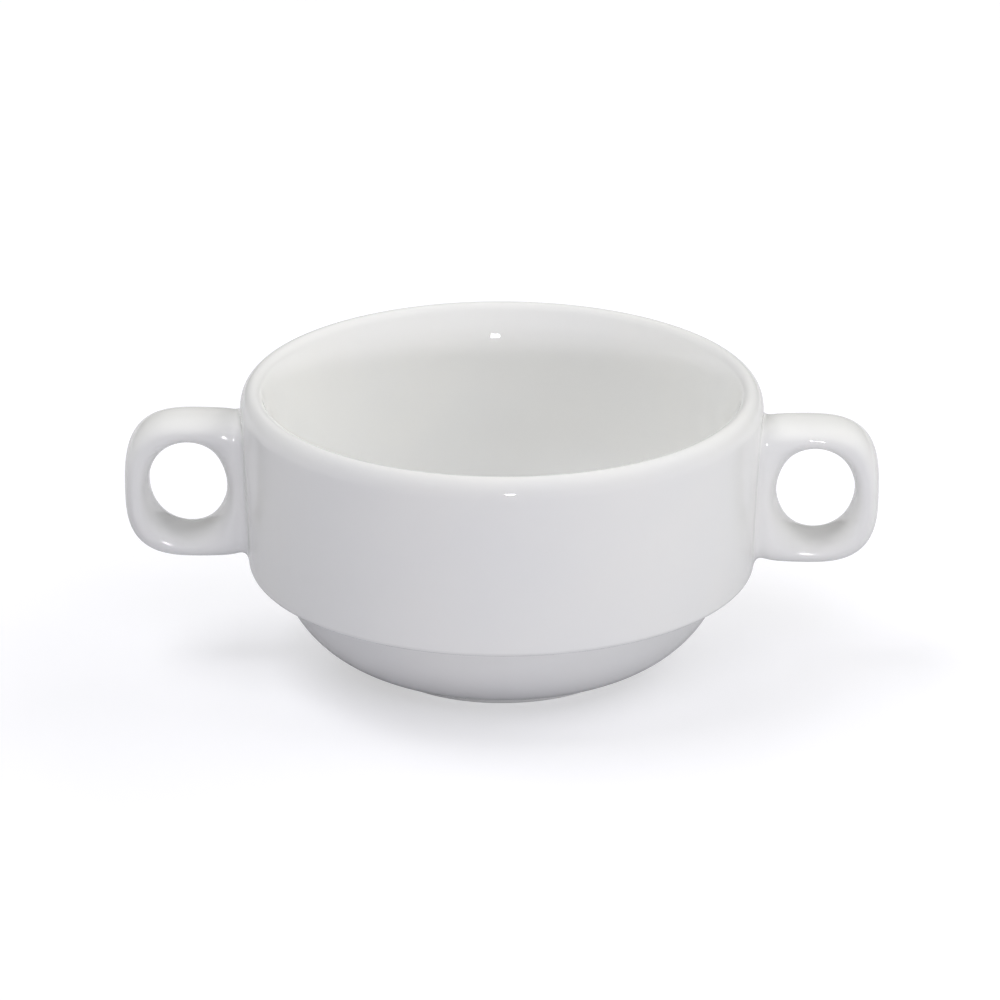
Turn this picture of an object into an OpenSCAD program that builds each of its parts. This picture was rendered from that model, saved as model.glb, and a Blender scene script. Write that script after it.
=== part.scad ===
// Stacking soup cup in glazed porcelain: a turned bowl with two cast lug handles.
// Each handle is joined to the wall by a thin layer of luting slip.
// The cup stands on z = 0 with its axis on Z, and its handles point along X.

/* [Rim] */
// Outer diameter over the rolled rim
rim_d = 105; // [95:0.5:120]
// Height of the cup from its foot to the top of the rim
cup_h = 58; // [55:0.5:75]
// Radius of the rim's outer edge
rim_round = 2.6; // [2.2:0.1:3]
// Radius of the lip's inner edge
lip_round = 1.9; // [1.4:0.1:2.2]
// How far the rolled rim stands proud of the wall
rim_bead = 0.1; // [0.1:0.1:1]
// Height of the flared lip inside the rim
lip_h = 4.6; // [3:0.1:6]
// Lean of the flared lip from upright
lip_lean = 19; // [14:1:24]

/* [Wall] */
// How much the outer wall draws in from the rim to the ledge, as a radius
wall_draw = 1.4; // [0.5:0.1:2]
// Lean of the inner wall from upright
inner_lean = 5; // [4:0.5:8]

/* [Stacking ledge and lower bowl] */
// Height of the ledge that rests on the rim of the cup below
ledge_z = 20.4; // [18:0.2:23]
// Radius of the wall's lower edge
ledge_edge = 1.2; // [0.6:0.1:1.4]
// Radius of the fillet under the ledge
ledge_fillet = 1.5; // [0.5:0.1:2.5]
// Clearance between the lower bowl and the lip of the cup that it drops into
stack_gap = 2.8; // [2.4:0.1:4.2]
// Radius of the lower bowl's round side
bowl_round = 22.5; // [21:0.5:25]

/* [Base] */
// Outer diameter of the foot ring
foot_d = 52; // [46:0.5:58]
// Width of the foot ring
foot_w = 3.2; // [2.5:0.1:4.5]
// Height of the foot ring, and depth of the recess inside it
foot_h = 1.5; // [1.2:0.1:2.2]
// Radius of the foot ring's edges
foot_edge = 0.5; // [0.2:0.1:0.8]
// Thickness of the base
base_t = 4; // [3:0.1:5]
// Radius between the inner wall and the floor
floor_round = 28; // [26:0.5:32]

/* [Handles] */
// How far each handle reaches beyond the rim
handle_out = 23.4; // [21:0.2:28]
// Height of a handle
handle_h = 29.4; // [26:0.2:30.5]
// Depth of a handle from front to back
handle_t = 14; // [11:0.2:18]
// Height of a handle's underside above the ledge
handle_lift = 1.9; // [1.7:0.1:3]
// Length of the handle's rounded outer half
handle_nose = 14.5; // [12:0.1:17]
// Squareness of the outer half's outline, where 2 is an ellipse
nose_square = 3; // [2.4:0.1:4]
// Squareness of the handle's section, where 2 is an ellipse
section_square = 2.4; // [2:0.1:3]
// Thickness of the handle's bar outside the finger hole
bar_w = 4.8; // [3.8:0.1:6]
// Width of the finger hole
hole_w = 15.8; // [14:0.2:17]
// Height of the finger hole
hole_h = 19.4; // [16:0.2:20]
// Radius of the fillet between a handle and the wall
root_fillet = 1.6; // [0.8:0.1:1.8]

/* [Joint] */
// Thickness of the slip between a handle and the wall
slip_t = 0.3; // [0.2:0.05:0.5]
// How far the slip shows round a handle's root
slip_show = 0.3; // [0.1:0.05:0.4]

/* [Hidden] */
glaze = "#F3F3F1";
slip_colour = "#E9E7E1";
$fn = 96;

// Overlap of round forms where they run into each other
seam = 0.05;

// Outer wall, a cone from the ledge up to the rolled rim
rim_c_r = rim_d / 2 - rim_round;
rim_c_z = cup_h - rim_round;
wall_top_r = rim_d / 2 - rim_bead;
wall_low_r = wall_top_r - wall_draw;
wall_slope = wall_draw / (rim_c_z - ledge_z);
function wall_r(z) = wall_low_r + (z - ledge_z) * wall_slope;
ledge_edge_r = wall_r(ledge_z + ledge_edge) - ledge_edge;

// Edge and foot of the flared lip
lip_c_z = cup_h - lip_round;
lip_top = [rim_c_r, lip_c_z] + (lip_round - seam) * [-cos(lip_lean), sin(lip_lean)];
lip_foot = lip_top - lip_h * [tan(lip_lean), 1];

// Lower bowl, whose round side ends level with the base and at the ledge
bowl_r = lip_top[0] - stack_gap;
bowl_c_z = foot_h + bowl_round;
bowl_c_r = bowl_r - sqrt(pow(bowl_round, 2) - pow(bowl_c_z - ledge_z, 2));
// Fillet from the ledge to the bowl
fillet_c_z = ledge_z - ledge_fillet + seam;
fillet_c_r = bowl_c_r + sqrt(pow(bowl_round + ledge_fillet - seam, 2) - pow(bowl_c_z - fillet_c_z, 2));
fillet_top = [fillet_c_r, ledge_z];
fillet_low = [bowl_c_r, bowl_c_z] + [fillet_c_r - bowl_c_r, fillet_c_z - bowl_c_z]
    * bowl_round / (bowl_round + ledge_fillet - seam);

// Leaning inner wall and round floor
floor_z = foot_h + base_t;
floor_c_z = floor_z + floor_round;
inner_low_z = floor_c_z - floor_round * sin(inner_lean);
inner_low = [lip_foot[0] - (lip_foot[1] - inner_low_z) * tan(inner_lean), inner_low_z];
floor_c_r = inner_low[0] - floor_round * cos(inner_lean) + seam;

// Handle outline, seen from the front as distance from the axis and height
handle_mid_z = ledge_z + handle_lift + handle_h / 2;
handle_end = rim_d / 2 + handle_out;
nose_u = handle_end - handle_nose;
hole_u = handle_end - bar_w - hole_w / 2;
// The root half runs square into the wall and is cut off there
root_embed = 2;
root_l = nose_u - wall_r(handle_mid_z);
root_square = 6;
// Half the handle's height where it meets the wall
root_half_h = handle_h / 2 * pow(1 - pow(root_l / (root_l + root_embed), root_square), 1 / root_square);
// Rings round the finger hole and points round each ring's section
ring_n = 72;
section_n = 24;
// Squareness of the root where it meets the wall, which steers its fillet
root_corner = 4;
// Corner radius of the slip's outline
slip_corner = handle_t / 3 + root_fillet;

// Signed power, for a superellipse
function spow(x, p) = sign(x) * pow(abs(x), p);

// Distance from a superellipse's centre to its edge, in the direction a
function reach(a, half_w, half_h, square) =
    pow(pow(abs(cos(a)) / half_w, square) + pow(abs(sin(a)) / half_h, square), -1 / square);

function outline_point(a) = [nose_u, handle_mid_z] + [cos(a), sin(a)]
    * (cos(a) > 0 ? reach(a, handle_nose, handle_h / 2, nose_square)
                  : reach(a, root_l + root_embed, handle_h / 2, root_square));
function hole_point(a) = [hole_u, handle_mid_z] + [cos(a), sin(a)] * reach(a, hole_w / 2, hole_h / 2, 2);

// Outward direction of the root's surface, across the handle and up
function root_normal(v, z) = let (
        across = spow(2 * v / handle_t, root_corner - 1) / handle_t,
        up = spow(2 * z / handle_h, root_corner - 1) / handle_h)
    [across, up] / max(norm([across, up]), 1e-9);

// How far the fillet stands off the handle at a distance from the wall
function fillet_at(d) = d >= root_fillet ? 0
    : d <= 0 ? root_fillet
    : root_fillet - sqrt(pow(root_fillet, 2) - pow(root_fillet - d, 2));

function flared(p) = let (
        wall_gap = norm([p[0], p[1]]) - wall_r(p[2]) - slip_t,
        push = fillet_at(wall_gap) * root_normal(p[1], p[2] - handle_mid_z))
    [p[0], p[1] + push[0], p[2] + push[1]];

// Point b of the section at angle a round the finger hole
function handle_point(a, b) = let (
        middle = (outline_point(a) + hole_point(a)) / 2,
        half = (outline_point(a) - hole_point(a)) / 2,
        in_plane = middle + half * spow(cos(b), 2 / section_square),
        across = handle_t / 2 * spow(sin(b), 2 / section_square))
    flared([in_plane[0], across, in_plane[1]]);

// The cone of the outer wall, grown by a layer
module wall_cone(layer) {
    translate([0, 0, ledge_z])
        cylinder(h = cup_h - ledge_z, r1 = wall_r(ledge_z) + layer, r2 = wall_r(cup_h) + layer);
}

// The rolled rim, which a handle and its slip stop short of
module rim_roll() {
    rotate_extrude() translate([rim_c_r, rim_c_z]) circle(rim_round);
}

// Half of the cup's upright section, turned about the axis
module cup_section() {
    difference() {
        union() {
            wall_section();
            bowl_section();
            foot_section();
        }
        translate([0, floor_z]) square([floor_c_r, floor_round]);
        intersection() {
            translate([floor_c_r, floor_c_z]) circle(floor_round);
            translate([floor_c_r, floor_z]) square(floor_round);
        }
    }
}

module wall_section() {
    polygon([[ledge_edge_r, ledge_z], [ledge_edge_r + ledge_edge, ledge_z + ledge_edge],
             [wall_r(rim_c_z), rim_c_z], [rim_c_r, rim_c_z], [rim_c_r, lip_c_z], lip_top, lip_foot, inner_low,
             [bowl_c_r, ledge_z]]);
    translate([ledge_edge_r, ledge_z + ledge_edge]) circle(ledge_edge);
    translate([rim_c_r, lip_c_z]) circle(lip_round);
    // only the outer half of the rim's round, since the lip's edge is sharper
    intersection() {
        translate([rim_c_r, rim_c_z]) circle(rim_round);
        translate([rim_c_r, rim_c_z - rim_round]) square([rim_round, 2 * rim_round]);
    }
}

module bowl_section() {
    translate([0, foot_h]) square([bowl_c_r, ledge_z - foot_h]);
    intersection() {
        translate([bowl_c_r, bowl_c_z]) circle(bowl_round);
        translate([bowl_c_r, foot_h]) square([bowl_round, ledge_z - foot_h]);
    }
    // fillet under the ledge, run on into the bowl and the wall
    run_on = ledge_fillet * (fillet_low - fillet_top) / norm(fillet_low - fillet_top);
    difference() {
        polygon([fillet_top, fillet_top + [0, ledge_fillet], fillet_top + ledge_fillet * [-1, 1],
                 fillet_low + run_on]);
        translate([fillet_c_r, fillet_c_z]) circle(ledge_fillet);
    }
}

module foot_section() {
    inner_edge_r = foot_d / 2 - foot_w + foot_edge;
    outer_edge_r = foot_d / 2 - foot_edge;
    translate([foot_d / 2 - foot_w, foot_edge]) square([foot_w, foot_h]);
    translate([inner_edge_r, 0]) square([outer_edge_r - inner_edge_r, foot_h]);
    for (r = [inner_edge_r, outer_edge_r]) translate([r, foot_edge]) circle(foot_edge);
}

module handle() {
    points = [for (i = [0:ring_n - 1], k = [0:section_n - 1])
        handle_point(360 * i / ring_n, 360 * k / section_n)];
    function at(i, k) = (i % ring_n) * section_n + k % section_n;
    faces = [for (i = [0:ring_n - 1], k = [0:section_n - 1], half = [0, 1])
        half == 0 ? [at(i, k), at(i + 1, k), at(i + 1, k + 1)] : [at(i, k), at(i + 1, k + 1), at(i, k + 1)]];
    difference() {
        polyhedron(points, faces);
        wall_cone(slip_t);
        rim_roll();
    }
}

module slip_outline() {
    half_t = handle_t / 2 + root_fillet + slip_show;
    half_h = root_half_h + root_fillet + slip_show;
    square([2 * half_t, 2 * (half_h - slip_corner)], center = true);
    square([2 * (half_t - slip_corner), 2 * half_h], center = true);
    for (x = [-1, 1], y = [-1, 1])
        translate([x * (half_t - slip_corner), y * (half_h - slip_corner)]) circle(slip_corner);
}

module handle_slip() {
    intersection() {
        difference() {
            wall_cone(slip_t);
            wall_cone(0);
            rim_roll();
        }
        translate([0, 0, handle_mid_z]) rotate([90, 0, 90]) linear_extrude(rim_d) slip_outline();
    }
}

module cup_body() {
    color(glaze) rotate_extrude() cup_section();
}

module right_handle() {
    color(glaze) handle();
}

module left_handle() {
    color(glaze) rotate([0, 0, 180]) handle();
}

module right_handle_slip() {
    color(slip_colour) handle_slip();
}

module left_handle_slip() {
    color(slip_colour) rotate([0, 0, 180]) handle_slip();
}

cup_body();
left_handle();
right_handle();
left_handle_slip();
right_handle_slip();
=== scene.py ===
import math

import bmesh
import bpy
import numpy as np
from bpy.props import FloatProperty, FloatVectorProperty, PointerProperty
from mathutils import Matrix, Vector


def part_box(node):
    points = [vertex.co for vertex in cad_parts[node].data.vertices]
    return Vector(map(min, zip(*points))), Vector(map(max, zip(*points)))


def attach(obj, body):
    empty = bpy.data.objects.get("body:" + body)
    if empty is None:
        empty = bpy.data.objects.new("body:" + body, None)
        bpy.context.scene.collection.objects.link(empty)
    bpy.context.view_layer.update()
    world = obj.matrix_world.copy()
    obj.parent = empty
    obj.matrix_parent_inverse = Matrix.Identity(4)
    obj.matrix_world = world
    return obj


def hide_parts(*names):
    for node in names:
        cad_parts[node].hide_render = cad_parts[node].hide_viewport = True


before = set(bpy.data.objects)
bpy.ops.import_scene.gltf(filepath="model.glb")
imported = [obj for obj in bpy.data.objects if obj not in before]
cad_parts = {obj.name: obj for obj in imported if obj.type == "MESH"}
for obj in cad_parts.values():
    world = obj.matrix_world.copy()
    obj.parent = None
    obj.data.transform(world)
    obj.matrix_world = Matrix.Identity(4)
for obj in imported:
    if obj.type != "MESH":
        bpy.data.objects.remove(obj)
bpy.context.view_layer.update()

bl_info = {
    "name": "Stacking Soup Cup",
    "version": (1, 0, 0),
    "blender": (4, 5, 0),
    "location": "View3D > Sidebar > Soup Cup",
    "description": "Models a glazed porcelain soup cup with two looped handles on its measured solids",
    "category": "Add Mesh",
}

MM = 0.001
# Steps round the cup's axis
TURNS = 288
# Longest straight step in the cup's section
SECTION_STEP = 1.5 * MM
# Points of the section that are closer than this count as one
SAME_POINT = SECTION_STEP / 1000
# Coarsest step along an arc of the section
ARC_STEP = math.radians(4)
# Height up to which the foot ring's faces are bare
STANDING_FACE = 0.02 * MM
# Columns round the finger hole: on the free part of the loop, and where it runs into the wall
FREE_COLUMNS = 145
ROOT_COLUMNS = 63
# Lines over the front, hole and back of the bar, and lines across its outer edge
BAR_LINES = 73
EDGE_LINES = 21
# Place of the bar's outer corner on its section
BAR_CORNER = math.radians(60)
# Turn about the finger hole at which the loop is well inside the wall
SUNK_TURN = math.radians(170)
# Times that an interval is halved to find where two surfaces meet
HALVINGS = 40
# Steps across the fillet of the joint, and how far its curve is pulled towards the corner that it fills
FILLET_STEPS = 16
FILLET_PULL = 0.8
# How far the fillet's toe dips under the wall, so that the two surfaces cross
TOE_SINK = 0.01 * MM
# Where along the fillet its shading starts to go over into the wall's, and where it has done so
EASE_START = 0.6
EASE_END = 0.9
# Size of a handle's hidden end, as a share of its visible root
END_SHARE = 0.8
# Small turn over which a handle's normals are worked out
NORMAL_TURN = 1e-4
# What takes the right handle and its joint to each side: half a turn about the axis for the left
SIDES = {"right": np.array((1, 1, 1)), "left": np.array((-1, -1, 1))}
# Width of the camera's sensor in millimetres
SENSOR_WIDTH = 36
# Times that a ray of light may bounce, and times that it may be mirrored on its way
BOUNCES = 24
MIRRORED_BOUNCES = 16

cup_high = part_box("cup_body")[1]
handle_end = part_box("right_handle")[1].x


def linear(colour):
    """An sRGB hex colour as linear red, green, blue and alpha."""
    channels = [int(colour[i:i + 2], 16) / 255 for i in (1, 3, 5)]
    return [c / 12.92 if c <= 0.04045 else ((c + 0.055) / 1.055) ** 2.4 for c in channels] + [1.0]


def length(name, description, default):
    """A length in metres."""
    return FloatProperty(name=name, description=description, default=default, unit="LENGTH", precision=4)


def angle(name, description, degrees):
    """An angle, given in degrees and kept in radians."""
    return FloatProperty(name=name, description=description, default=math.radians(degrees), subtype="ANGLE")


def share(name, description, default):
    """A plain number, such as a squareness or a strength."""
    return FloatProperty(name=name, description=description, default=default)


def colour(name, description, default):
    """A colour, given as sRGB hex."""
    return FloatVectorProperty(
        name=name, description=description, default=linear(default), size=4, subtype="COLOR", min=0, max=1
    )


class CupSizes(bpy.types.PropertyGroup):
    """Sizes of the turned cup. Its rim and height are those of the measured solid."""

    rim_radius: length("Rim radius", "Outer radius over the rolled rim", cup_high.y)
    height: length("Height", "From the foot to the top of the rim", cup_high.z)
    roll_width: length("Roll width", "Width of the rim's rolled outer edge", 2.6 * MM)
    roll_height: length("Roll height", "Height of the rim's rolled outer edge", 4 * MM)
    lip_round: length("Lip round", "Radius of the lip's inner edge", 1.9 * MM)
    lip_height: length("Lip height", "Height of the flared lip inside the rim", 4.9 * MM)
    lip_lean: angle("Lip lean", "Lean of the flared lip from upright", 20)
    lip_bend: length("Lip bend", "Radius of the bend from the lip to the inner wall", 35 * MM)
    inner_lean: angle("Inner lean", "Lean of the inner wall from upright", 5)
    wall_draw: length("Wall draw", "How much the outer wall draws in from the rim to the ledge", 1.5 * MM)
    ledge_height: length("Ledge height", "Height of the stacking ledge above the foot", 20.4 * MM)
    ledge_edge: length("Ledge edge", "Radius of the wall's lower edge", 1.2 * MM)
    ledge_fillet: length("Ledge fillet", "Radius of the fillet under the ledge", 1.5 * MM)
    stack_gap: length("Stacking gap", "Clearance of the lower bowl in the lip of the cup below", 2.8 * MM)
    bowl_round: length("Bowl round", "Radius of the lower bowl's round side", 22.5 * MM)
    base_thickness: length("Base thickness", "Thickness of the base above the foot ring", 4 * MM)
    floor_round: length("Floor round", "Radius between the inner wall and the floor", 28 * MM)
    foot_radius: length("Foot radius", "Outer radius of the foot ring", 26 * MM)
    foot_width: length("Foot width", "Width of the foot ring", 3.2 * MM)
    foot_height: length("Foot height", "Height of the foot ring", 1.5 * MM)
    foot_edge: length("Foot edge", "Radius of the foot ring's edges", 0.5 * MM)
    foot_crease: length("Foot crease", "Radius of the glaze where the foot meets the bowl", 0.25 * MM)


class HandleSizes(bpy.types.PropertyGroup):
    """Sizes of the two looped handles. Their reach is that of the measured solids."""

    reach: length("Reach", "Distance of the handle's end from the cup's axis", handle_end)
    lift: length("Lift", "Height of a handle's underside above the ledge", 1.9 * MM)
    height: length("Height", "Height of a handle", 29.4 * MM)
    depth: length("Depth", "Depth of a handle from front to back", 14 * MM)
    nose: length("Nose", "Length of the handle's rounded outer half", 14.5 * MM)
    nose_square: share("Nose squareness", "Squareness of the outer half, where 2 is an ellipse", 3.0)
    bar: length("Bar", "Thickness of the bar outside the finger hole", 4.8 * MM)
    bar_square: share("Bar squareness", "Squareness of the bar's section, where 2 is an ellipse", 2.4)
    hole_width: length("Hole width", "Width of the finger hole", 15.8 * MM)
    hole_height: length("Hole height", "Height of the finger hole", 19.4 * MM)
    root_depth: length("Root depth", "How far the outline runs on into the wall", 2 * MM)
    root_square: share("Root squareness", "Squareness of the half that runs into the wall", 6.0)
    joint_fillet: length("Joint fillet", "Reach of the slip that fills the corner at the wall", 2.2 * MM)
    joint_layer: length("Joint layer", "Thickness of the slip between the handle and the wall", 0.3 * MM)


class CupColours(bpy.types.PropertyGroup):
    """Colours of the glazed and of the bare porcelain."""

    glaze: colour("Glaze", "White porcelain under clear glaze", "#F4F4F2")
    pooled: colour("Pooled glaze", "Glaze where it lies thick", "#F0F1F1")
    bare: colour("Bare porcelain", "Fired porcelain without glaze, under the foot", "#E6E1D8")
    rubbed: colour("Rubbed porcelain", "Grey rubbed spots on the bare foot", "#CFC8BC")


class StageSettings(bpy.types.PropertyGroup):
    """The floor, the light and the camera."""

    floor_colour: colour("Floor", "Colour of the floor", "#C6C6CB")
    floor_size: length("Floor size", "Side of the floor", 12.0)
    floor_glow: share("Floor glow", "How much the floor's white is lifted where it is seen", 0.5)
    floor_mirror: share("Mirrored white", "Share of the background's white that shows in the glaze", 0.2)
    floor_lit: length("Lit floor", "Distance up to which the lamps light the floor", 0.5)
    floor_unlit: length("Unlit floor", "Distance from which the lamps no longer reach the floor", 1.5)
    sky_colour: colour("Sky", "Colour of the even light from all round", "#FFFFFF")
    sky_strength: share("Sky strength", "Strength of the even light from all round", 0.12)
    camera_distance: length("Camera distance", "From the camera to the point that it looks at", 1.4036)
    camera_height: length("Aim height", "Height of the point that the camera looks at", 33.57 * MM)
    camera_side: length("Aim side", "Place of that point to the right of the axis", -0.325 * MM)
    camera_rise: angle("Camera rise", "Angle of the camera above the horizon", 21.513)
    camera_turn: angle("Camera turn", "Turn of the camera round the cup, towards the right handle", 1.2)
    camera_roll: angle("Camera roll", "Turn of the camera about its own axis", 0.155)
    camera_lens: share("Lens", "Focal length in millimetres on a sensor 36 mm wide", 250.56)


def unit(vectors):
    """Vectors brought to a length of one."""
    return vectors / np.linalg.norm(vectors, axis=-1, keepdims=True)


def wall_slope(cup):
    """How much the outer wall widens for each unit of height."""
    return cup.wall_draw / (cup.height - cup.roll_height - cup.ledge_height)


def wall_radius(cup, z):
    """Radius of the outer wall, a cone from the ledge up to the rolled rim, at a height."""
    return cup.rim_radius - wall_slope(cup) * (cup.height - cup.roll_height - z)


def wall_side(cup, points):
    """Distance of points from the outer wall and its rounded lower edge, and the way out from there."""
    radius = np.hypot(points[..., 0], points[..., 1])
    slope = wall_slope(cup)
    lean = math.hypot(1, slope)
    edge_z = cup.ledge_height + cup.ledge_edge
    edge_r = wall_radius(cup, edge_z) - cup.ledge_edge * lean
    out, up = radius - edge_r, points[..., 2] - edge_z
    below = up < -slope * out
    from_edge = np.hypot(out, up)
    from_wall = (radius - wall_radius(cup, points[..., 2])) / lean
    gap = np.where(below, from_edge - cup.ledge_edge, from_wall)
    facing_out = np.where(below, out / from_edge, 1 / lean)
    facing_up = np.where(below, up / from_edge, -slope / lean)
    facing_level = points[..., :2] * (facing_out / radius)[..., None]
    return gap, np.concatenate((facing_level, facing_up[..., None]), axis=-1)


def arc(centre, radii, start, turn):
    """Points of an elliptical arc in the section's plane, from the angle start on through turn."""
    count = max(5, math.ceil(abs(turn) / ARC_STEP) + 1)
    angles = np.linspace(start, start + turn, count)
    return np.asarray(centre) + np.column_stack((radii[0] * np.cos(angles), radii[1] * np.sin(angles)))


def round_arc(centre, radius, first, last):
    """Points of the shorter circular arc about a centre, from one direction to another."""
    start = math.atan2(first[1], first[0])
    turn = math.atan2(last[1], last[0]) - start
    turn = (turn + math.pi) % (2 * math.pi) - math.pi
    return arc(centre, (radius, radius), start, turn)


def corner(before, at, after, radius):
    """Points of the arc that rounds the corner between two straight runs of the section."""
    before, at, after = (np.asarray(p, float) for p in (before, at, after))
    back = unit(before - at)
    on = unit(after - at)
    half = math.acos(back @ on) / 2
    centre = at + unit(back + on) * radius / math.sin(half)
    tangent = radius / math.tan(half)
    return round_arc(centre, radius, at + back * tangent - centre, at + on * tangent - centre)


def inner_section(cup):
    """The inside, from the middle of the floor to the top of the lip's edge."""
    lip_centre = np.array((cup.rim_radius - cup.roll_width, cup.height - cup.lip_round))
    lip_out = np.array((-math.cos(cup.lip_lean), math.sin(cup.lip_lean)))
    lip_top = lip_centre + cup.lip_round * lip_out
    lip_foot = lip_top - cup.lip_height * np.array((math.tan(cup.lip_lean), 1))
    floor_z = cup.foot_height + cup.base_thickness
    middle = (0, floor_z)
    floor_corner = (lip_foot[0] - (lip_foot[1] - floor_z) * math.tan(cup.inner_lean), floor_z)
    return [
        [middle],
        corner(middle, floor_corner, lip_foot, cup.floor_round),
        corner(floor_corner, lip_foot, lip_top, cup.lip_bend),
        round_arc(lip_centre, cup.lip_round, lip_out, (0, 1)),
    ], lip_top


def outer_section(cup, lip_top):
    """The outside, from the top of the rim down to the fillet under the ledge and round the lower bowl."""
    roll_centre = (cup.rim_radius - cup.roll_width, cup.height - cup.roll_height)
    wall_top = (cup.rim_radius, roll_centre[1])
    wall_foot = (wall_radius(cup, cup.ledge_height), cup.ledge_height)
    bowl_z = cup.foot_height + cup.bowl_round
    bowl_side = math.sqrt(cup.bowl_round**2 - (bowl_z - cup.ledge_height) ** 2)
    bowl = np.array((lip_top[0] - cup.stack_gap - bowl_side, bowl_z))
    fillet_z = cup.ledge_height - cup.ledge_fillet
    fillet_side = math.sqrt((cup.bowl_round + cup.ledge_fillet) ** 2 - (bowl_z - fillet_z) ** 2)
    fillet = np.array((bowl[0] + fillet_side, fillet_z))
    crease_r = cup.foot_radius + cup.foot_crease
    crease_drop = math.sqrt((cup.bowl_round + cup.foot_crease) ** 2 - (crease_r - bowl[0]) ** 2)
    crease = np.array((crease_r, bowl_z - crease_drop))
    return [
        arc(roll_centre, (cup.roll_width, cup.roll_height), math.pi / 2, -math.pi / 2),
        corner(wall_top, wall_foot, bowl + (0, cup.ledge_height - bowl_z), cup.ledge_edge),
        round_arc(fillet, cup.ledge_fillet, (0, 1), bowl - fillet),
        round_arc(bowl, cup.bowl_round, fillet - bowl, crease - bowl),
        round_arc(crease, cup.foot_crease, bowl - crease, (-1, 0)),
    ]


def foot_section(cup):
    """The foot ring and the recess inside it, in to the middle of the base."""
    outside, inside = cup.foot_radius, cup.foot_radius - cup.foot_width
    base = cup.foot_height
    middle = (0, base)
    return [
        corner((outside, base), (outside, 0), (inside, 0), cup.foot_edge),
        corner((outside, 0), (inside, 0), (inside, base), cup.foot_edge),
        corner((inside, 0), (inside, base), middle, cup.foot_edge),
        [middle],
    ]


def spaced(runs):
    """The section's runs joined, without doubled points and with long straight steps divided."""
    points = np.vstack([np.asarray(run, float) for run in runs])
    made = [points[0]]
    for point in points[1:]:
        gap = np.linalg.norm(point - made[-1])
        if gap < SAME_POINT:
            continue
        steps = math.ceil(gap / SECTION_STEP)
        start = made[-1]
        made.extend(start + (point - start) * k / steps for k in range(1, steps + 1))
    return np.array(made)


def grid_faces(grid):
    """Four-sided faces between the neighbouring rows of a grid of point numbers."""
    rows, columns = grid.shape
    return [
        (grid[i, k], grid[i + 1, k], grid[i + 1, k + 1], grid[i, k + 1])
        for i in range(rows - 1)
        for k in range(columns - 1)
    ]


def closed(ring):
    """A row of point numbers with its first point again at the end."""
    return np.append(ring, ring[0])


def fan_faces(ring, middle):
    """Triangles from a closed row of points to one point in its middle."""
    around = closed(ring)
    return [(around[k], around[k + 1], middle) for k in range(len(ring))]


def lathe(section):
    """Points and faces of a closed form of revolution, from a section that starts and ends on the axis."""
    angles = np.arange(TURNS) * 2 * math.pi / TURNS
    radii, heights = section[1:-1, 0], section[1:-1, 1]
    rings = np.empty((len(radii), TURNS, 3))
    rings[..., 0] = radii[:, None] * np.cos(angles)
    rings[..., 1] = radii[:, None] * np.sin(angles)
    rings[..., 2] = heights[:, None]
    numbers = np.arange(rings.shape[0] * TURNS).reshape(-1, TURNS)
    first, last = numbers.size, numbers.size + 1
    points = np.vstack((rings.reshape(-1, 3), (0, 0, section[0, 1]), (0, 0, section[-1, 1])))
    faces = grid_faces(np.column_stack((numbers, numbers[:, 0])))
    return points, faces + fan_faces(numbers[0], first) + fan_faces(numbers[-1], last)


def add_piece(name, points, faces, normals=None):
    """A closed, smoothly shaded mesh that rides with the cup."""
    mesh = bpy.data.meshes.new(name)
    mesh.from_pydata(points.tolist(), [], [tuple(int(k) for k in face) for face in faces])
    form = bmesh.new()
    form.from_mesh(mesh)
    bmesh.ops.recalc_face_normals(form, faces=form.faces)
    if form.calc_volume(signed=True) < 0:
        bmesh.ops.reverse_faces(form, faces=form.faces)
    open_edges = sum(not edge.is_manifold for edge in form.edges)
    form.to_mesh(mesh)
    form.free()
    if open_edges:
        raise RuntimeError(f"{name} is not closed: {open_edges} open edges")
    mesh.shade_smooth()
    if normals is not None:
        mesh.normals_split_custom_set_from_vertices(normals.tolist())
    piece = bpy.data.objects.new(name, mesh)
    bpy.context.scene.collection.objects.link(piece)
    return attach(piece, "root")


def signed_power(value, power):
    """A power that keeps the value's sign, for superellipses."""
    return np.sign(value) * np.abs(value) ** power


def edge_distance(angles, half_width, half_height, square):
    """Distance from a superellipse's centre to its edge, in each direction."""
    wide = (np.abs(np.cos(angles)) / half_width) ** square
    high = (np.abs(np.sin(angles)) / half_height) ** square
    return (wide + high) ** (-1 / square)


def crossing(gap, free, sunk):
    """Where the gap falls to zero between free and sunk parameters, found by halving."""
    for _ in range(HALVINGS):
        middle = (free + sunk) / 2
        is_free = gap(middle) > 0
        free = np.where(is_free, middle, free)
        sunk = np.where(is_free, sunk, middle)
    return (free + sunk) / 2


def handle_middle(cup, handle):
    """Height of a handle's middle."""
    return cup.ledge_height + handle.lift + handle.height / 2


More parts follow.
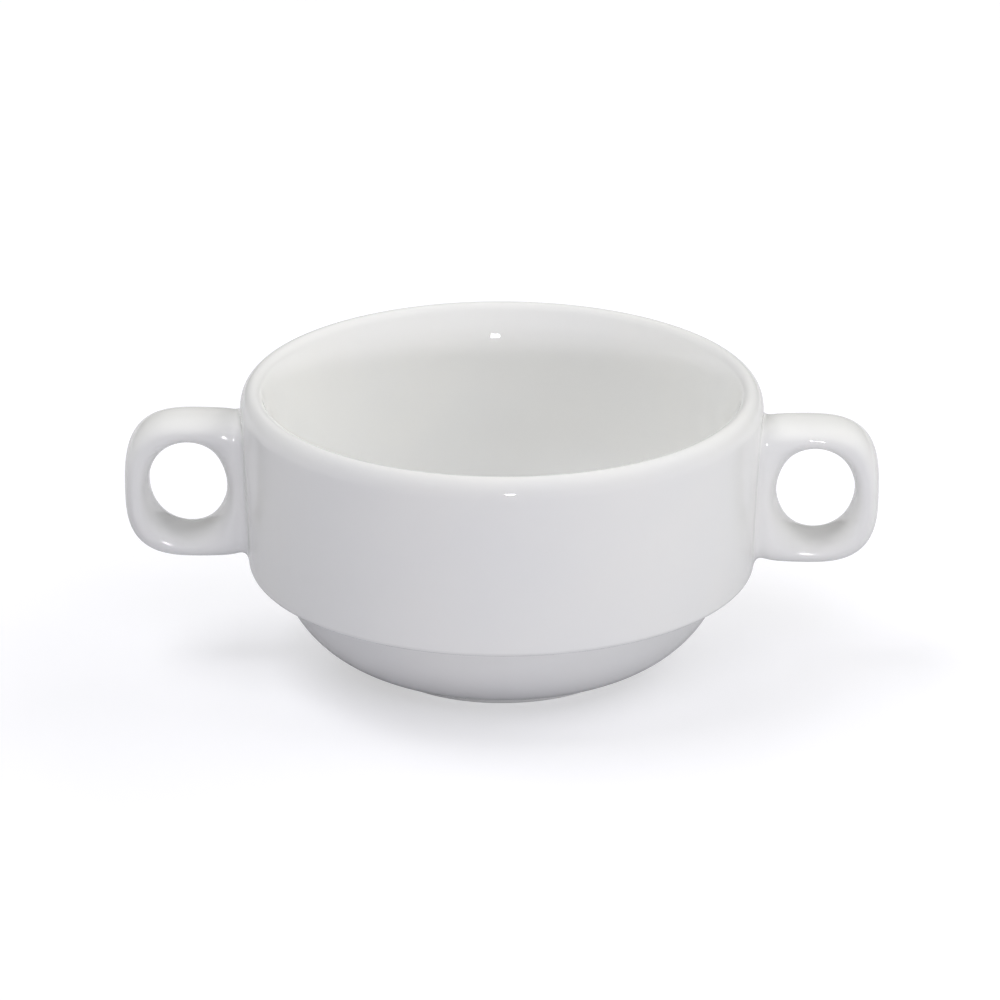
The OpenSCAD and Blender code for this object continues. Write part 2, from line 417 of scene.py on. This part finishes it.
class HandleSurface:
    """The right handle as a surface: around turns about the finger hole, over turns about the bar."""

    def __init__(self, cup, handle):
        self.cup = cup
        self.handle = handle
        self.nose_x = handle.reach - handle.nose
        self.hole_x = handle.reach - handle.bar - handle.hole_width / 2
        self.middle = handle_middle(cup, handle)
        self.root_length = self.nose_x - wall_radius(cup, self.middle) + handle.root_depth

    def outline(self, around):
        """Outer edge of the loop, seen from the front."""
        h = self.handle
        nose = edge_distance(around, h.nose, h.height / 2, h.nose_square)
        root = edge_distance(around, self.root_length, h.height / 2, h.root_square)
        distance = np.where(np.cos(around) > 0, nose, root)
        return self.nose_x + distance * np.cos(around), self.middle + distance * np.sin(around)

    def hole(self, around):
        """Edge of the finger hole, seen from the front."""
        h = self.handle
        distance = edge_distance(around, h.hole_width / 2, h.hole_height / 2, 2)
        return self.hole_x + distance * np.cos(around), self.middle + distance * np.sin(around)

    def point(self, around, over):
        """Points of the surface, on superelliptic sections between the hole and the outline."""
        power = 2 / self.handle.bar_square
        along = signed_power(np.cos(over), power)
        across = self.handle.depth / 2 * signed_power(np.sin(over), power)
        out_x, out_z = self.outline(around)
        in_x, in_z = self.hole(around)
        x = (out_x + in_x) / 2 + (out_x - in_x) / 2 * along
        z = (out_z + in_z) / 2 + (out_z - in_z) / 2 * along
        return np.stack(np.broadcast_arrays(x, across, z), axis=-1)

    def normal(self, around, over):
        """Outward directions of the surface, from its small differences."""
        round_step = self.point(around + NORMAL_TURN, over) - self.point(around - NORMAL_TURN, over)
        over_step = self.point(around, over + NORMAL_TURN) - self.point(around, over - NORMAL_TURN)
        return unit(np.cross(over_step, round_step))

    def ball_centre(self, around, over):
        """Centre of a ball of the joint fillet's radius that touches the handle there."""
        return self.point(around, over) + self.handle.joint_fillet * self.normal(around, over)

    def ball_gap(self, around, over):
        """Distance between that ball and the wall, under zero where it sinks in."""
        return wall_side(self.cup, self.ball_centre(around, over))[0] - self.handle.joint_fillet


def handle_grid(surface):
    """Points, normals and faces of a handle's free surface, and the loop where its fillet starts."""
    over_edge = np.linspace(-BAR_CORNER, BAR_CORNER, EDGE_LINES)
    upright = np.full(EDGE_LINES, math.pi / 2)
    sunk = np.full(EDGE_LINES, SUNK_TURN)
    top = crossing(lambda around: surface.ball_gap(around, over_edge), upright, sunk)
    bottom = crossing(lambda around: surface.ball_gap(around, over_edge), -upright, -sunk)

    reach = np.linspace(-1, 1, FREE_COLUMNS)[:, None]
    edge_around = np.where(reach > 0, reach * top, -reach * bottom)
    root = np.linspace(top[-1], 2 * math.pi + bottom[-1], ROOT_COLUMNS + 2)[1:-1]
    root_over = crossing(
        lambda over: surface.ball_gap(root, over),
        np.full(ROOT_COLUMNS, math.pi),
        np.full(ROOT_COLUMNS, BAR_CORNER),
    )
    around = np.append(edge_around[:, -1], root)[:, None]
    start = np.append(np.full(FREE_COLUMNS, BAR_CORNER), root_over)[:, None]
    over = start + (2 * math.pi - 2 * start) * np.linspace(0, 1, BAR_LINES)
    around = np.broadcast_to(around, over.shape)

    edge_over = np.broadcast_to(over_edge[1:-1], (FREE_COLUMNS, EDGE_LINES - 2))
    edge_around = edge_around[:, 1:-1]
    all_around = np.append(around, edge_around)
    all_over = np.append(over, edge_over)
    points = surface.point(all_around, all_over)
    normals = surface.normal(all_around, all_over)

    bar = np.arange(over.size).reshape(over.shape)
    edge = over.size + np.arange(edge_over.size).reshape(edge_over.shape)
    first, last = 0, FREE_COLUMNS - 1
    faces = grid_faces(np.vstack((bar, bar[:1])))
    faces += grid_faces(np.column_stack((bar[:FREE_COLUMNS, -1], edge, bar[:FREE_COLUMNS, 0])))
    loop = np.concatenate((
        bar[last:, 0],
        bar[first:1, 0],
        edge[first, ::-1],
        bar[first:1, -1],
        bar[last:, -1][::-1],
        edge[last],
    ))
    return points, normals, faces, loop


def on_wall(cup, points, layer):
    """Points moved straight towards the axis, to a layer outside the wall."""
    moved = points.copy()
    radius = np.hypot(points[:, 0], points[:, 1])
    moved[:, :2] *= ((wall_radius(cup, points[:, 2]) + layer) / radius)[:, None]
    return moved


def end_ring(cup, handle, start):
    """Edge of a handle's hidden end, which draws in from the fillet's start to the slip's layer."""
    middle = np.array((0, 0, handle_middle(cup, handle)))
    return on_wall(cup, middle + (start - middle) * (1, END_SHARE, END_SHARE), handle.joint_layer)


def end_middle(cup, handle, layer):
    """Middle of a handle's hidden end, at a layer outside the wall."""
    return on_wall(cup, np.array([[handle.reach, 0, handle_middle(cup, handle)]]), layer)


def outward(points):
    """Level directions from the cup's axis to each point."""
    return unit(points * (1, 1, 0))


def handle_form(cup, handle):
    """Points, faces and normals of the right handle, with the hidden end that the slip holds."""
    points, normals, faces, loop = handle_grid(HandleSurface(cup, handle))
    end = end_ring(cup, handle, points[loop])
    middle = end_middle(cup, handle, handle.joint_layer)
    end_loop = len(points) + np.arange(len(loop))
    faces = faces + grid_faces(np.vstack((closed(loop), closed(end_loop))))
    faces += fan_faces(end_loop, len(points) + len(loop))
    points = np.vstack((points, end, middle))
    normals = np.vstack((normals, -outward(end), -outward(middle)))
    return points, faces, normals


def fillet_curve(step, start, leave, arrive, toe):
    """Points of the fillet's Bezier curves at a step from 0 to 1, and the way that they run there."""
    rest = 1 - step
    point = rest**3 * start + 3 * rest**2 * step * leave + 3 * rest * step**2 * arrive + step**3 * toe
    way = rest**2 * (leave - start) + 2 * rest * step * (arrive - leave) + step**2 * (toe - arrive)
    return point, way


def joint_form(cup, handle):
    """Points, faces and normals of the slip: its layer behind the handle and its fillet on the wall."""
    points, normals, _, loop = handle_grid(HandleSurface(cup, handle))
    start, facing = points[loop], normals[loop]
    centre = start + handle.joint_fillet * facing
    wall_facing = wall_side(cup, centre)[1]
    toe = centre - (handle.joint_fillet + TOE_SINK) * wall_facing
    filled = np.sum(facing * wall_facing, axis=-1, keepdims=True)
    apex = centre - handle.joint_fillet * (facing + wall_facing) / (1 + filled)
    leave = start + FILLET_PULL * (apex - start)
    arrive = toe + FILLET_PULL * (apex - toe)
    inward = unit(apex - start)

    back = end_ring(cup, handle, start)
    rings, ring_normals = [back], [outward(back)]
    for step in np.linspace(0, 1, FILLET_STEPS + 1):
        ring, way = fillet_curve(step, start, leave, arrive, toe)
        on, off = (np.sum(way * side, axis=-1, keepdims=True) for side in (inward, facing))
        normal = unit(on * facing - off * inward)
        eased = np.clip((step - EASE_START) / (EASE_END - EASE_START), 0, 1)
        normal += eased * (wall_side(cup, ring)[1] - normal)
        rings.append(ring)
        ring_normals.append(unit(normal))
    rings.append(toe - handle.joint_layer * wall_facing)
    ring_normals.append(-wall_facing)

    numbers = np.arange(len(rings) * len(loop)).reshape(len(rings), -1)
    faces = grid_faces(np.column_stack((numbers, numbers[:, 0])))
    faces += fan_faces(numbers[0], numbers.size) + fan_faces(numbers[-1], numbers.size + 1)
    middles = np.vstack([end_middle(cup, handle, side * handle.joint_layer) for side in (1, -1)])
    points = np.vstack(rings + [middles])
    normals = np.vstack(ring_normals + [outward(middles) * ((1,), (-1,))])
    return points, faces, normals


def node(tree, kind, inputs=None, **settings):
    """Adds a node with its settings, and sets its inputs to values or links them to other outputs."""
    made = tree.nodes.new(kind)
    for name, value in settings.items():
        setattr(made, name, value)
    for name, value in (inputs or {}).items():
        if isinstance(value, bpy.types.NodeSocket):
            tree.links.new(value, made.inputs[name])
        else:
            made.inputs[name].default_value = value
    return made


def new_material(name):
    """An empty node material, and its node tree."""
    material = bpy.data.materials.new(name)
    material.use_nodes = True
    material.node_tree.nodes.clear()
    return material, material.node_tree


def glazed_porcelain(name, colours):
    """White porcelain, dipped in clear glaze and fired glossy.

    The eye sees a bright white body under a smooth glassy skin, a little cooler where the glaze lies
    thicker, with a faint slow unevenness that bends reflections.
    """
    material, tree = new_material(name)
    place = node(tree, "ShaderNodeTexCoord").outputs["Object"]
    # Slow drift of the glaze's thickness over about 25 mm
    drift = node(tree, "ShaderNodeTexNoise", {"Vector": place, "Scale": 1 / (25 * MM), "Detail": 2.0})
    # Faint orange peel of the fired glaze, about 3 mm across
    peel = node(tree, "ShaderNodeTexNoise", {"Vector": place, "Scale": 1 / (3 * MM), "Detail": 1.0})
    thick = node(
        tree, "ShaderNodeMapRange",
        {"Value": drift.outputs["Fac"], "From Min": 0.35, "From Max": 0.65, "To Min": 0.0, "To Max": 0.5},
    )
    body = node(
        tree, "ShaderNodeMixRGB",
        {"Fac": thick.outputs["Result"], "Color1": list(colours.glaze), "Color2": list(colours.pooled)},
    )
    gloss = node(
        tree, "ShaderNodeMapRange",
        {"Value": peel.outputs["Fac"], "From Min": 0.3, "From Max": 0.7, "To Min": 0.02, "To Max": 0.05},
    )
    wave = node(
        tree, "ShaderNodeBump",
        {"Height": drift.outputs["Fac"], "Strength": 1.0, "Distance": 0.06 * MM},
    )
    skin = node(
        tree, "ShaderNodeBump",
        {"Height": peel.outputs["Fac"], "Strength": 1.0, "Distance": 0.002 * MM,
         "Normal": wave.outputs["Normal"]},
    )
    shader = node(
        tree, "ShaderNodeBsdfPrincipled",
        {"Base Color": body.outputs["Color"], "Roughness": gloss.outputs["Result"], "IOR": 1.5,
         "Normal": skin.outputs["Normal"]},
    )
    node(tree, "ShaderNodeOutputMaterial", {"Surface": shader.outputs["BSDF"]})
    return material


def bare_porcelain(name, colours):
    """Fired porcelain that was wiped free of glaze, under the foot.

    The eye sees a matt, slightly warm white with a fine sandy grain and faint grey rubbed spots.
    """
    material, tree = new_material(name)
    place = node(tree, "ShaderNodeTexCoord").outputs["Object"]
    # Sandy grain, drawn at 0.4 mm so that it shows, though the real one is finer
    grain = node(tree, "ShaderNodeTexNoise", {"Vector": place, "Scale": 1 / (0.4 * MM), "Detail": 3.0})
    # Rubbed spots about 4 mm across
    rubbed = node(tree, "ShaderNodeTexNoise", {"Vector": place, "Scale": 1 / (4 * MM), "Detail": 4.0})
    body = node(
        tree, "ShaderNodeMixRGB",
        {"Fac": rubbed.outputs["Fac"], "Color1": list(colours.bare), "Color2": list(colours.rubbed)},
    )
    rough = node(
        tree, "ShaderNodeBump",
        {"Height": grain.outputs["Fac"], "Strength": 0.6, "Distance": 0.05 * MM},
    )
    shader = node(
        tree, "ShaderNodeBsdfPrincipled",
        {"Base Color": body.outputs["Color"], "Roughness": 0.75, "IOR": 1.5,
         "Normal": rough.outputs["Normal"]},
    )
    node(tree, "ShaderNodeOutputMaterial", {"Surface": shader.outputs["BSDF"]})
    return material


def seen_white(tree, mirrored):
    """One where the background is seen, also through glass, a share of it in a reflection, and else zero."""
    path = node(tree, "ShaderNodeLightPath")
    direct = node(
        tree, "ShaderNodeMath",
        {0: path.outputs["Is Camera Ray"], 1: path.outputs["Is Transmission Ray"]}, operation="MAXIMUM",
    )
    reflected = node(
        tree, "ShaderNodeMath", {0: path.outputs["Is Glossy Ray"], 1: mirrored}, operation="MULTIPLY",
    )
    return node(
        tree, "ShaderNodeMath",
        {0: direct.outputs["Value"], 1: reflected.outputs["Value"]}, operation="MAXIMUM",
    ).outputs["Value"]


def matt_paper(stage):
    """Matt white background paper, which goes over to plain white and keeps the cup's shadow."""
    material, tree = new_material("background_paper")
    paper = node(tree, "ShaderNodeBsdfDiffuse", {"Color": list(stage.floor_colour)})
    place = node(tree, "ShaderNodeTexCoord").outputs["Object"]
    away = node(tree, "ShaderNodeVectorMath", {0: place}, operation="LENGTH")
    # Further off, where the lamps no longer reach, the paper's white comes from the lift alone
    lift = node(
        tree, "ShaderNodeMapRange",
        {"Value": away.outputs["Value"], "From Min": stage.floor_lit, "From Max": stage.floor_unlit,
         "To Min": stage.floor_glow, "To Max": 1.0},
    )
    shown = node(
        tree, "ShaderNodeMath", {0: seen_white(tree, stage.floor_mirror), 1: lift.outputs["Result"]},
        operation="MULTIPLY",
    )
    glow = node(tree, "ShaderNodeEmission", {"Strength": shown.outputs["Value"]})
    both = node(tree, "ShaderNodeAddShader", {0: paper.outputs["BSDF"], 1: glow.outputs["Emission"]})
    node(tree, "ShaderNodeOutputMaterial", {"Surface": both.outputs["Shader"]})
    return material


def studio_sky(stage):
    """Even faint light from all round, which shows as plain white behind the floor."""
    world = bpy.data.worlds.new("studio")
    world.use_nodes = True
    tree = world.node_tree
    tree.nodes.clear()
    strength = node(
        tree, "ShaderNodeMath",
        {0: seen_white(tree, stage.floor_mirror), 1: stage.sky_strength}, operation="MAXIMUM",
    )
    sky = node(
        tree, "ShaderNodeBackground",
        {"Color": list(stage.sky_colour), "Strength": strength.outputs["Value"]},
    )
    node(tree, "ShaderNodeOutputWorld", {"Surface": sky.outputs["Background"]})
    return world


def porcelain(name):
    """The cup's glazed or bare porcelain, made once and shared by its pieces."""
    return bpy.data.materials.get(name) or PORCELAINS[name](name, bpy.context.scene.cup_colours)


GLAZED = "porcelain_under_clear_glaze"
BARE = "porcelain_without_glaze"
PORCELAINS = {GLAZED: glazed_porcelain, BARE: bare_porcelain}


class SOUPCUP_OT_cup_body(bpy.types.Operator):
    """Turn the cup's wall, bowl, rim and foot ring"""

    bl_idname = "soup_cup.cup_body"
    bl_label = "Cup Body"

    def execute(self, context):
        cup = context.scene.cup_sizes
        inside, lip_top = inner_section(cup)
        section = spaced(inside + outer_section(cup, lip_top) + foot_section(cup))
        points, faces = lathe(section)
        piece = add_piece("glazed_cup_body", points, faces)
        piece.data.materials.append(porcelain(GLAZED))
        piece.data.materials.append(porcelain(BARE))
        for face in piece.data.polygons:
            top = max(piece.data.vertices[k].co.z for k in face.vertices)
            face.material_index = int(top < STANDING_FACE)
        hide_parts("cup_body")
        return {"FINISHED"}


class SOUPCUP_OT_handles(bpy.types.Operator):
    """Cast the two looped handles"""

    bl_idname = "soup_cup.handles"
    bl_label = "Handles"

    def execute(self, context):
        points, faces, normals = handle_form(context.scene.cup_sizes, context.scene.handle_sizes)
        for side, turn in SIDES.items():
            piece = add_piece(f"glazed_{side}_handle", points * turn, faces, normals * turn)
            piece.data.materials.append(porcelain(GLAZED))
            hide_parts(f"{side}_handle")
        return {"FINISHED"}


class SOUPCUP_OT_joints(bpy.types.Operator):
    """Lute the handles to the wall with slip, smoothed to a fillet"""

    bl_idname = "soup_cup.joints"
    bl_label = "Slip Joints"

    def execute(self, context):
        points, faces, normals = joint_form(context.scene.cup_sizes, context.scene.handle_sizes)
        for side, turn in SIDES.items():
            piece = add_piece(f"glazed_{side}_joint", points * turn, faces, normals * turn)
            piece.data.materials.append(porcelain(GLAZED))
            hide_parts(f"{side}_handle_slip")
        return {"FINISHED"}


# Colours of the lamps
PLAIN = "#FFFFFF"
WARM = "#FFFEFB"
COOL = "#F9F7FF"
# Distance from the cup, width and height of the small lamp and of the soft ones
WINDOW = (2.2, 0.15, 0.14)
SOFTBOX = (1.2, 0.8, 0.6)
# Lamps: name, degrees from the front to the right, degrees of rise, distance and size, watts, colour,
# and whether it shows in the glaze
LAMPS = (
    ("window", 4.5, 5, WINDOW, 8.5, COOL, True),
    ("front_softbox", 0, 45, SOFTBOX, 2.2, COOL, False),
    ("front_right_softbox", 45, 15, SOFTBOX, 2.4, PLAIN, False),
    ("right_softbox", 90, 40, SOFTBOX, 4.1, WARM, False),
    ("left_softbox", -90, 65, SOFTBOX, 5.9, PLAIN, False),
    ("back_right_softbox", 135, 35, SOFTBOX, 3.4, WARM, False),
    ("back_left_softbox", -135, 35, SOFTBOX, 2.7, WARM, False),
)


def add_lamp(aim, name, turn, rise, form, power, tint, shown):
    """A rectangular lamp that points at the cup."""
    lamp = bpy.data.lights.new(name, "AREA")
    lamp.shape = "RECTANGLE"
    distance, lamp.size, lamp.size_y = form
    lamp.energy = power
    lamp.color = linear(tint)[:3]
    turn, rise = math.radians(turn), math.radians(rise)
    away = Vector((math.sin(turn) * math.cos(rise), -math.cos(turn) * math.cos(rise), math.sin(rise)))
    stand = bpy.data.objects.new(name, lamp)
    stand.location = aim + away * distance
    stand.rotation_mode = "QUATERNION"
    stand.rotation_quaternion = away.to_track_quat("Z", "Y")
    stand.visible_camera = False
    stand.visible_glossy = shown
    bpy.context.scene.collection.objects.link(stand)


def add_floor(stage):
    """A large sheet of background paper that the cup stands on."""
    half = stage.floor_size / 2
    mesh = bpy.data.meshes.new("floor")
    corners = [(-half, -half, 0), (half, -half, 0), (half, half, 0), (-half, half, 0)]
    mesh.from_pydata(corners, [], [(0, 1, 2, 3)])
    mesh.materials.append(matt_paper(stage))
    floor = bpy.data.objects.new("floor", mesh)
    bpy.context.scene.collection.objects.link(floor)


def add_camera(stage):
    """A camera with a long lens, turned and raised as the photograph's was."""
    turned = Matrix.Rotation(stage.camera_turn, 3, "Z")
    right = turned @ Vector((1, 0, 0))
    forward = turned @ Vector((0, math.cos(stage.camera_rise), -math.sin(stage.camera_rise)))
    up = right.cross(forward)
    aim = right * stage.camera_side + Vector((0, 0, stage.camera_height))
    rolled = math.cos(stage.camera_roll) * right + math.sin(stage.camera_roll) * up
    data = bpy.data.cameras.new("camera")
    data.sensor_width = SENSOR_WIDTH
    data.lens = stage.camera_lens
    camera = bpy.data.objects.new("camera", data)
    axes = Matrix((rolled, rolled.cross(forward), -forward)).transposed()
    camera.matrix_world = Matrix.Translation(aim - forward * stage.camera_distance) @ axes.to_4x4()
    bpy.context.scene.collection.objects.link(camera)
    bpy.context.scene.camera = camera


class SOUPCUP_OT_stage(bpy.types.Operator):
    """Set up the floor, the soft light and the camera"""

    bl_idname = "soup_cup.stage"
    bl_label = "Stage"

    def execute(self, context):
        stage = context.scene.cup_stage
        add_floor(stage)
        aim = Vector((0, 0, context.scene.cup_sizes.height / 2))
        for lamp in LAMPS:
            add_lamp(aim, *lamp)
        context.scene.world = studio_sky(stage)
        add_camera(stage)
        context.scene.view_settings.view_transform = "Standard"
        # Light that runs along the round inner wall is mirrored many times on its way out
        context.scene.cycles.max_bounces = BOUNCES
        context.scene.cycles.glossy_bounces = MIRRORED_BOUNCES
        return {"FINISHED"}


class SOUPCUP_PT_panel(bpy.types.Panel):
    """Sizes, colours and pieces of the soup cup"""

    bl_idname = "SOUPCUP_PT_panel"
    bl_label = "Soup Cup"
    bl_space_type = "VIEW_3D"
    bl_region_type = "UI"
    bl_category = "Soup Cup"

    def draw(self, context):
        for piece in PIECES:
            self.layout.operator(piece.bl_idname)
        for settings in SETTINGS:
            group = getattr(context.scene, settings)
            box = self.layout.box()
            for name in group.__annotations__:
                box.prop(group, name)


PIECES = (SOUPCUP_OT_cup_body, SOUPCUP_OT_handles, SOUPCUP_OT_joints, SOUPCUP_OT_stage)
SETTINGS = {
    "cup_sizes": CupSizes,
    "handle_sizes": HandleSizes,
    "cup_colours": CupColours,
    "cup_stage": StageSettings,
}


def register():
    for group in (*SETTINGS.values(), *PIECES, SOUPCUP_PT_panel):
        bpy.utils.register_class(group)
    for name, group in SETTINGS.items():
        setattr(bpy.types.Scene, name, PointerProperty(type=group))


def unregister():
    for name in SETTINGS:
        delattr(bpy.types.Scene, name)
    for group in (SOUPCUP_PT_panel, *reversed(PIECES), *reversed(SETTINGS.values())):
        bpy.utils.unregister_class(group)


def main():
    register()
    bpy.ops.soup_cup.cup_body()
    bpy.ops.soup_cup.handles()
    bpy.ops.soup_cup.joints()
    bpy.ops.soup_cup.stage()


if __name__ == "__main__":
    main()
